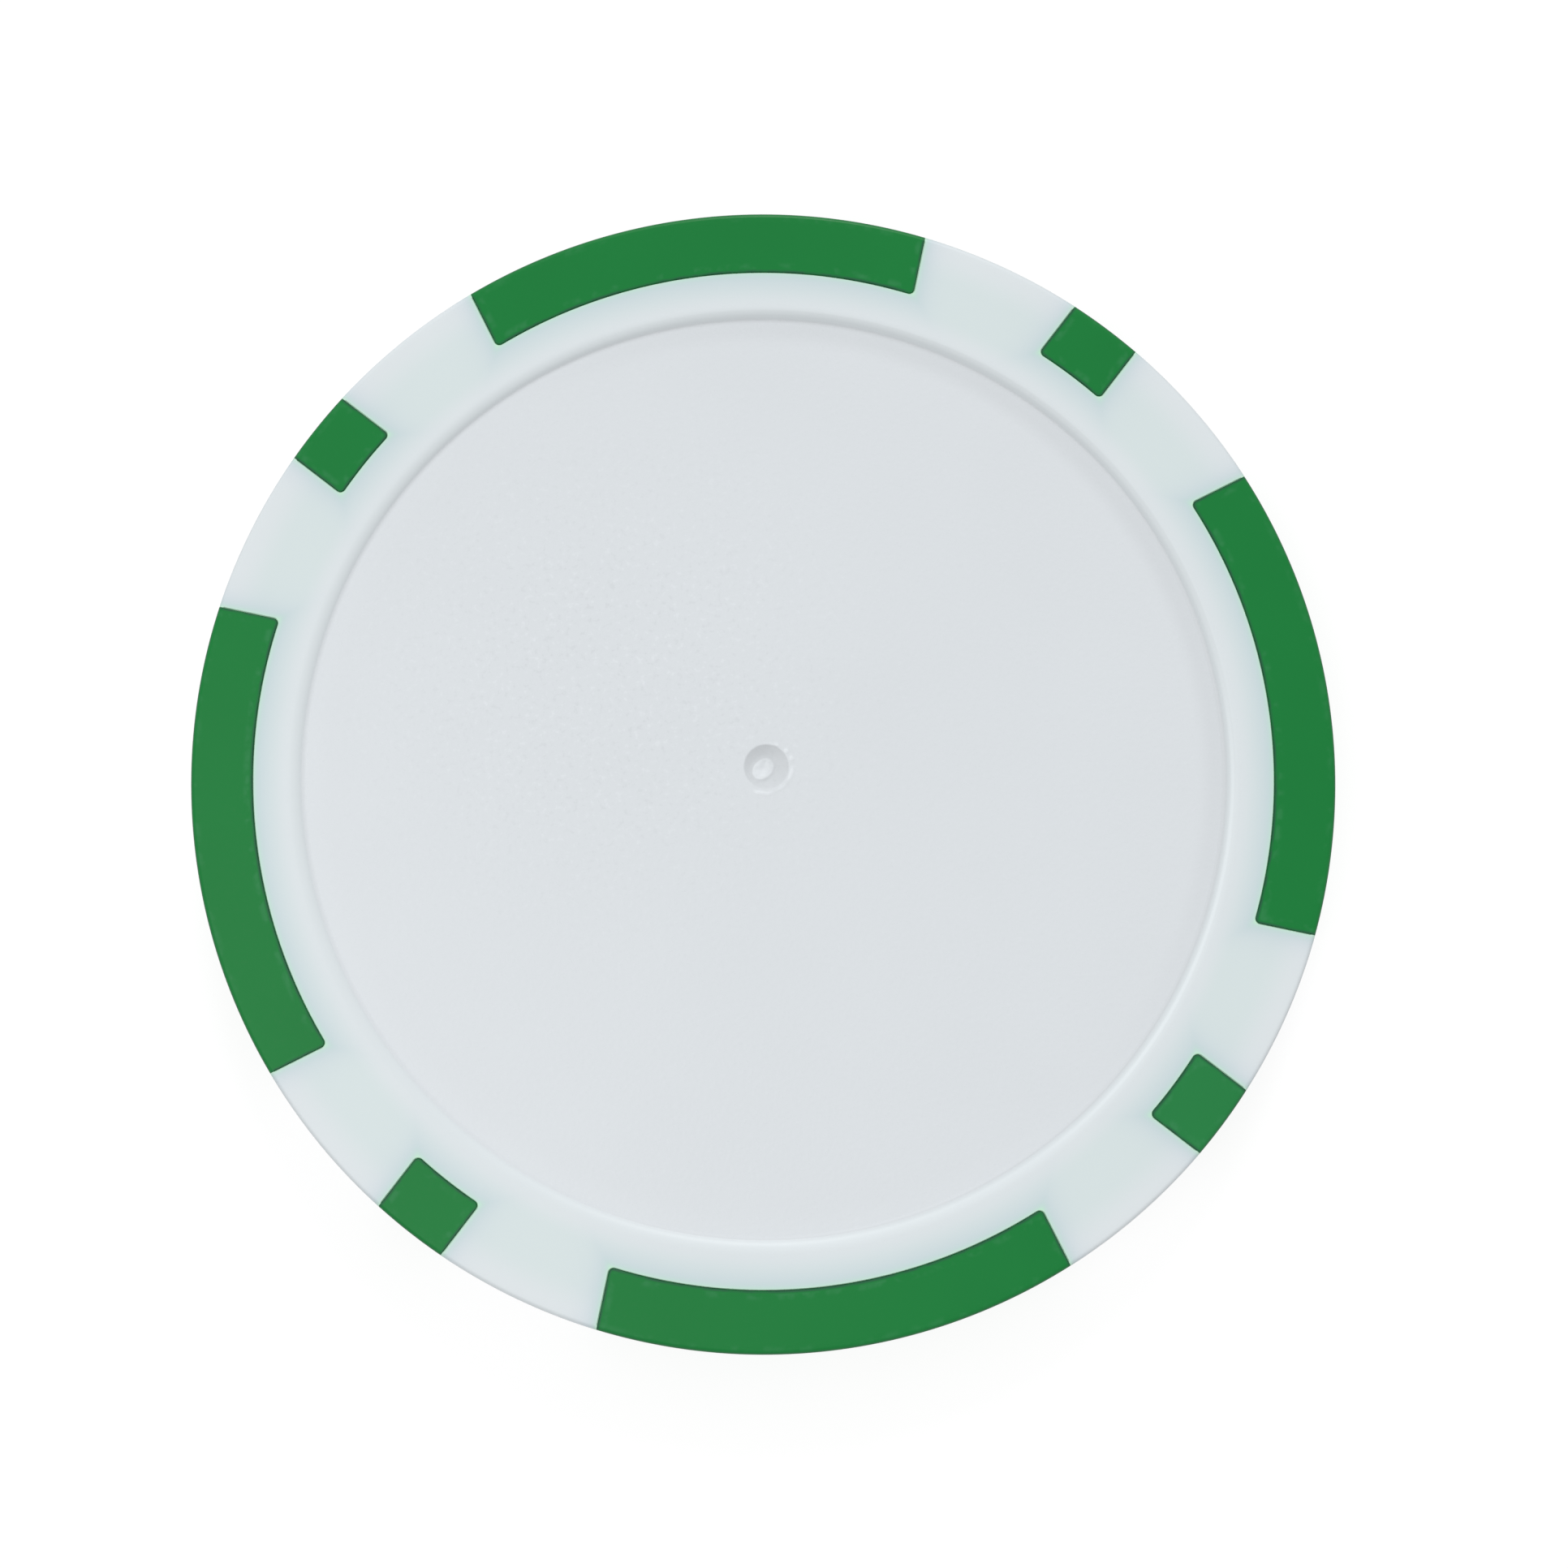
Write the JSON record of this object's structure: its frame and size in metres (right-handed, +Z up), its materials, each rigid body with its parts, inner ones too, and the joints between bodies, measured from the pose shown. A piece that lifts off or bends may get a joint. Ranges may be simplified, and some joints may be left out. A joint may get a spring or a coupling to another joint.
{
  "type": "poker chip",
  "caption": "Round two-shot moulded poker chip: white body with long and short green edge spots, a shallow label recess in each face and a steel slug sealed inside for weight.",
  "frame": {"origin": "centre of the underside, on the plane that the chip lies on", "axes": "+Z up along the chip's axis, out of the front face that carries the gate mark; long edge spots lie on the X and Y axes"},
  "size_m": [0.04, 0.04, 0.0033],
  "materials": {
    "slug_steel": "satin",
    "green_plastic": "satin",
    "white_plastic": "satin"
  },
  "bodies": {
    "root": {"steel_slug": "slug_steel", "spot_ring": "green_plastic", "white_body": "white_plastic"}
  },
  "joints": []
}
